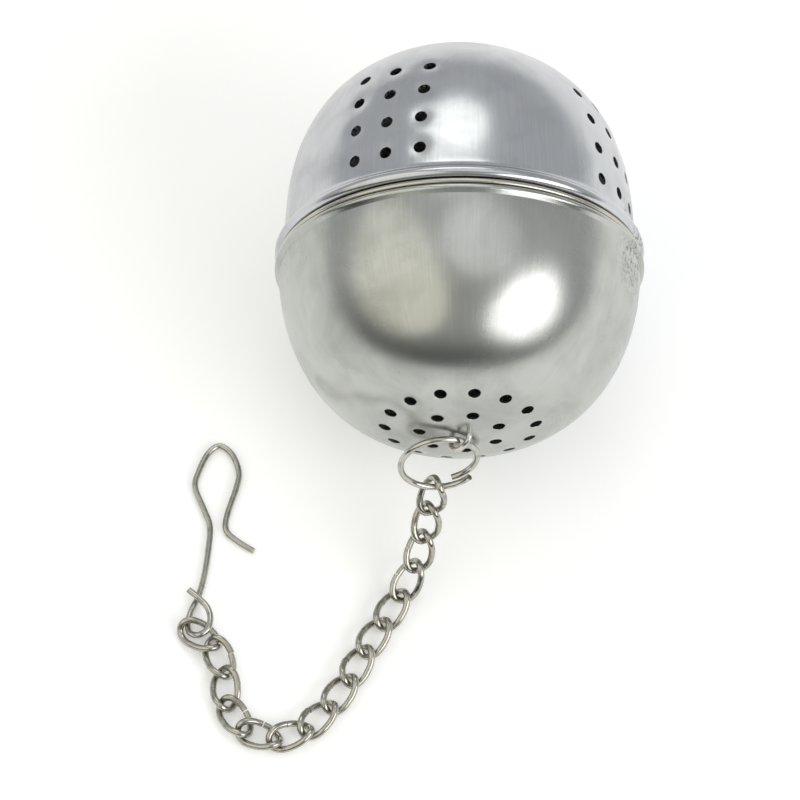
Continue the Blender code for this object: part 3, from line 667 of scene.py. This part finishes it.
def link_tree():
    """One twisted link about its own middle, open at a seam in its side.

    The seam is an angle of the bend, and the wire's last end springs out of line there.
    """
    sizes = [("Length", "Float"), ("Width", "Float"), ("Wire", "Float"), ("Twist", "Float"),
             ("Fullness", "Float"), ("Seam", "Float"), ("Spring", "Float")]
    tree, entry, close = geometry_tree("curb_link", sizes)
    line = add(tree, "GeometryNodeCurvePrimitiveLine", {"Start": (0, 0, 0), "End": (1, 0, 0)}).outputs[0]
    line = add(tree, "GeometryNodeResampleCurve", {"Curve": line, "Count": 88}).outputs[0]
    share = add(tree, "GeometryNodeSplineParameter").outputs["Factor"]
    half_seam = add(tree, "ShaderNodeMath", {0: entry["Seam"], 1: 0.5}, operation="MULTIPLY").outputs[0]
    sweep = {0: 2 * math.pi, 1: entry["Seam"]}
    sweep = add(tree, "ShaderNodeMath", sweep, operation="SUBTRACT").outputs[0]
    angle = add(tree, "ShaderNodeMath", {0: share, 1: sweep}, operation="MULTIPLY").outputs[0]
    angle = add(tree, "ShaderNodeMath", {0: angle, 1: half_seam}, operation="ADD").outputs[0]
    angle = add(tree, "ShaderNodeMath", {0: angle, 1: math.pi / 2}, operation="ADD").outputs[0]
    cosine = add(tree, "ShaderNodeMath", {0: angle}, operation="COSINE").outputs[0]
    sine = add(tree, "ShaderNodeMath", {0: angle}, operation="SINE").outputs[0]
    halves = []
    for label, swing in (("Length", cosine), ("Width", sine)):
        inside = {0: entry[label], 1: entry["Wire"]}
        inside = add(tree, "ShaderNodeMath", inside, operation="SUBTRACT").outputs[0]
        inside = add(tree, "ShaderNodeMath", {0: inside, 1: 0.5}, operation="MULTIPLY").outputs[0]
        size = add(tree, "ShaderNodeMath", {0: swing}, operation="ABSOLUTE").outputs[0]
        fuller = {0: size, 1: entry["Fullness"]}
        fuller = add(tree, "ShaderNodeMath", fuller, operation="POWER").outputs[0]
        sign = add(tree, "ShaderNodeMath", {0: swing}, operation="SIGN").outputs[0]
        signed = add(tree, "ShaderNodeMath", {0: sign, 1: fuller}, operation="MULTIPLY").outputs[0]
        half = add(tree, "ShaderNodeMath", {0: inside, 1: signed}, operation="MULTIPLY").outputs[0]
        halves.append(half)
    x, aside = halves
    half_twist = add(tree, "ShaderNodeMath", {0: entry["Twist"], 1: 0.5}, operation="MULTIPLY").outputs[0]
    twist = add(tree, "ShaderNodeMath", {0: half_twist, 1: cosine}, operation="MULTIPLY").outputs[0]
    near_end = add(tree, "ShaderNodeMath", {0: share, 1: 14.0}, operation="POWER").outputs[0]
    sprung = {0: near_end, 1: entry["Spring"]}
    sprung = add(tree, "ShaderNodeMath", sprung, operation="MULTIPLY").outputs[0]
    aside = add(tree, "ShaderNodeMath", {0: aside, 1: sprung}, operation="ADD").outputs[0]
    across = add(tree, "ShaderNodeMath", {0: twist}, operation="COSINE").outputs[0]
    upwards = add(tree, "ShaderNodeMath", {0: twist}, operation="SINE").outputs[0]
    y = add(tree, "ShaderNodeMath", {0: aside, 1: across}, operation="MULTIPLY").outputs[0]
    z = add(tree, "ShaderNodeMath", {0: aside, 1: upwards}, operation="MULTIPLY").outputs[0]
    point = add(tree, "ShaderNodeCombineXYZ", {"X": x, "Y": y, "Z": z}).outputs[0]
    line = add(tree, "GeometryNodeSetPosition", {"Geometry": line, "Position": point}).outputs[0]
    wire = add(tree, "ShaderNodeMath", {0: entry["Wire"], 1: 0.5}, operation="MULTIPLY").outputs[0]
    circle = {"Resolution": 18, "Radius": wire}
    section = add(tree, "GeometryNodeCurvePrimitiveCircle", circle, mode="RADIUS").outputs[0]
    sweep = {"Curve": line, "Profile Curve": section, "Fill Caps": True}
    close(add(tree, "GeometryNodeCurveToMesh", sweep).outputs[0])
    return tree


def own_frame(node):
    """A link's middle and its axes, from the spread of its solid: longest first."""
    points = np.array([tuple(vertex.co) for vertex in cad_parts[node].data.vertices])
    middle = points.mean(0)
    _, axes = np.linalg.eigh(np.cov((points - middle).T))
    x, y = Vector(axes[:, 2]), Vector(axes[:, 1])
    turned_to = Matrix((x, y, x.cross(y))).transposed().to_4x4()
    return Matrix.Translation(Vector(middle)) @ turned_to


links = link_tree()
chain_metal = plated_wire("plated_wire_chain", "#b4b1a8", "#84817a", 0.16)
bent = random.Random(7)
for number in range(1, link_count + 1):
    node = f"link_{number:02d}"
    sizes = {
        "Length": link_length, "Width": link_width, "Wire": link_wire, "Twist": link_twist,
        "Fullness": fullness, "Seam": bent.uniform(0.006, 0.022), "Spring": bent.uniform(0.0, 0.00012),
        "Material": chain_metal,
    }
    link = grown(node + "_twisted", bpy.data.meshes.new(node + "_base"), links, sizes, own_frame(node))
    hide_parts(node)
    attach(link, node)

# ------------------------------------------------------------------------------------------ hook
# A hook bent by hand from one length of plated wire: an eye round the last link, a shank, a bulb that
# hangs over a cup's rim, and a bent-out tail. Its ends are cut off square.

hook_wire = 0.0007
hook_low, hook_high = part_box("hook")
hook_route = (                                  # millimetres, from the tail's end to the eye's
    (5.8, 8.7, 0.0), (4.1, 9.8, 0.0), (2.8, 11.1, 0.0), (2.8, 12.9, 0.0), (3.7, 16.0, 0.0),
    (4.05, 18.1, 0.0), (3.3, 20.3, 0.0), (1.9, 21.4, 0.0), (0.6, 20.5, 0.0), (-0.4, 18.3, 0.0),
    (-0.75, 16.4, 0.0), (0.3, 13.6, 0.0), (0.95, 11.6, 0.0), (0.8, 8.6, 0.0), (0.4, 5.6, 0.0),
    (-0.2, 3.2, 0.0), (-0.95, 1.5, 0.03), (-1.25, 0.0, 0.18), (-1.0, -1.1, 0.34),
    (-0.1, -1.75, 1.15), (0.9, -1.2, 1.32), (1.25, 0.1, 1.26), (0.9, 1.5, 1.08), (0.0, 2.6, 0.96),
    (-1.2, 3.7, 0.88),
)


def smooth_route(points, samples):
    """Points on a Catmull-Rom curve through a route."""
    held = [points[0] * 2 - points[1]] + points + [points[-1] * 2 - points[-2]]
    route = []
    for i in range(1, len(held) - 2):
        a, b, c, d = held[i - 1:i + 3]
        for step in range(samples):
            t = step / samples
            route.append((b * 2 + (c - a) * t + (a * 2 - b * 5 + c * 4 - d) * t**2
                          + (b * 3 - a - c * 3 + d) * t**3) / 2)
    return route + [points[-1]]


hook_line = smooth_route([Vector(point) / 1000 for point in hook_route], 8)
line_low = Vector([min(point[i] for point in hook_line) for i in range(3)])
line_high = Vector([max(point[i] for point in hook_line) for i in range(3)])
hook_place = (hook_low + hook_high) / 2 - (line_low + line_high) / 2
hook_metal = plated_wire("plated_wire_hook", "#b4b2aa", "#84827b", 0.15)
hook = grown("hook_bent", line_mesh("hook_line", hook_line), wires,
             {"Thickness": hook_wire, "Sides": 20, "Material": hook_metal}, Matrix.Translation(hook_place))
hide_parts("hook")
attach(hook, "hook")

# ---------------------------------------------------------------------------------------- studio
# A sheet of white paper on a table, a large soft box at the right, a weaker one at the left, one
# behind and a wide one overhead. The room in front of the table is dark.


def box_light(name, azimuth, elevation, distance, size, strength, tint="#ffffff"):
    """An area light aimed at the egg. Azimuth 0 is on the chain's side (-Y), 90 on the right (+X)."""
    turn, rise = math.radians(azimuth), math.radians(elevation)
    towards = Vector((math.sin(turn) * math.cos(rise), -math.cos(turn) * math.cos(rise), math.sin(rise)))
    light = bpy.data.lights.new(name, "AREA")
    light.shape = "ELLIPSE"
    light.size, light.size_y = size
    light.energy = strength
    light.color = linear(tint)[:3]
    made = bpy.data.objects.new(name, light)
    made.location = egg + towards * distance
    made.rotation_euler = towards.to_track_quat("Z", "Y").to_euler()
    bpy.context.scene.collection.objects.link(made)


# name, azimuth and elevation in degrees, distance and size in metres, watts, tint
box_light("soft_box_right", 51.0, 31.0, 0.60, (0.60, 0.40), 1.7)
box_light("soft_box_left", -66.0, 44.0, 0.60, (1.00, 0.66), 1.10, "#fffbe6")
box_light("soft_box_behind", 184.0, 50.0, 0.60, (0.38, 0.26), 0.42, "#fbfbf4")
box_light("soft_box_above", 90.0, 78.0, 0.80, (0.60, 0.70), 0.55)

paper = bpy.data.materials.new("white_paper")
paper.use_nodes = True
paper_shader = paper.node_tree.nodes["Principled BSDF"]
paper_shader.inputs["Base Color"].default_value = linear("#f6f6f6")
paper_shader.inputs["Roughness"].default_value = 0.9
paper_shader.inputs["Emission Color"].default_value = (1.0, 1.0, 1.0, 1.0)
paper_shader.inputs["Emission Strength"].default_value = 0.22
floor_mesh = bpy.data.meshes.new("paper")
wide, level = 1.5, -0.00011                     # the round beads reach 0.1 mm below the frame's flats
corners = [(-wide, -wide, level), (wide, -wide, level), (wide, wide, level), (-wide, wide, level)]
floor_mesh.from_pydata(corners, [], [(0, 1, 2, 3)])
floor_mesh.materials.append(paper)
floor = bpy.data.objects.new("paper", floor_mesh)
bpy.context.scene.collection.objects.link(floor)
floor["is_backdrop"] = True

world = bpy.data.worlds.new("studio")
world.use_nodes = True
sky = world.node_tree
background = sky.nodes["Background"]
direction = add(sky, "ShaderNodeTexCoord").outputs["Generated"]
heading = add(sky, "ShaderNodeSeparateXYZ", {0: direction}).outputs
height = add(sky, "ShaderNodeMapRange", {0: heading[2], 1: -0.1, 2: 1.0}).outputs[0]
front = add(sky, "ShaderNodeValToRGB", {0: height})
dark_room, pale_ceiling = front.color_ramp.elements
dark_room.position = 0.20
dark_room.color = (0.012, 0.013, 0.016, 1)
pale_ceiling.position = 0.52
pale_ceiling.color = (0.42, 0.43, 0.41, 1)
behind = add(sky, "ShaderNodeMapRange", {0: heading[1], 1: -0.5, 2: 0.1}).outputs[0]
room = {0: behind, 6: front.outputs[0], 7: (0.55, 0.56, 0.57, 1)}
mixed = add(sky, "ShaderNodeMix", room, data_type="RGBA").outputs[2]
sky.links.new(mixed, background.inputs["Color"])
background.inputs["Strength"].default_value = 1.0
bpy.context.scene.world = world
bpy.context.scene.view_settings.view_transform = "Standard"

elevation = math.radians(64.5)                  # of the camera above the table
ahead = Vector((0, math.cos(elevation), -math.sin(elevation)))
above = Vector((0, math.sin(elevation), math.cos(elevation)))
aside = Vector((1, 0, 0))
lens = bpy.data.cameras.new("camera")
lens.lens = 216.0
lens.sensor_width = 36.0
camera = bpy.data.objects.new("camera", lens)
camera.location = egg - ahead * 0.520 - aside * 0.00643 - above * 0.01487
camera.rotation_euler = (math.pi / 2 - elevation, 0, 0)
bpy.context.scene.collection.objects.link(camera)
bpy.context.scene.camera = camera

final_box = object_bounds()
sizes = {"cad": [list(corner) for corner in cad_box], "visual": [list(corner) for corner in final_box]}
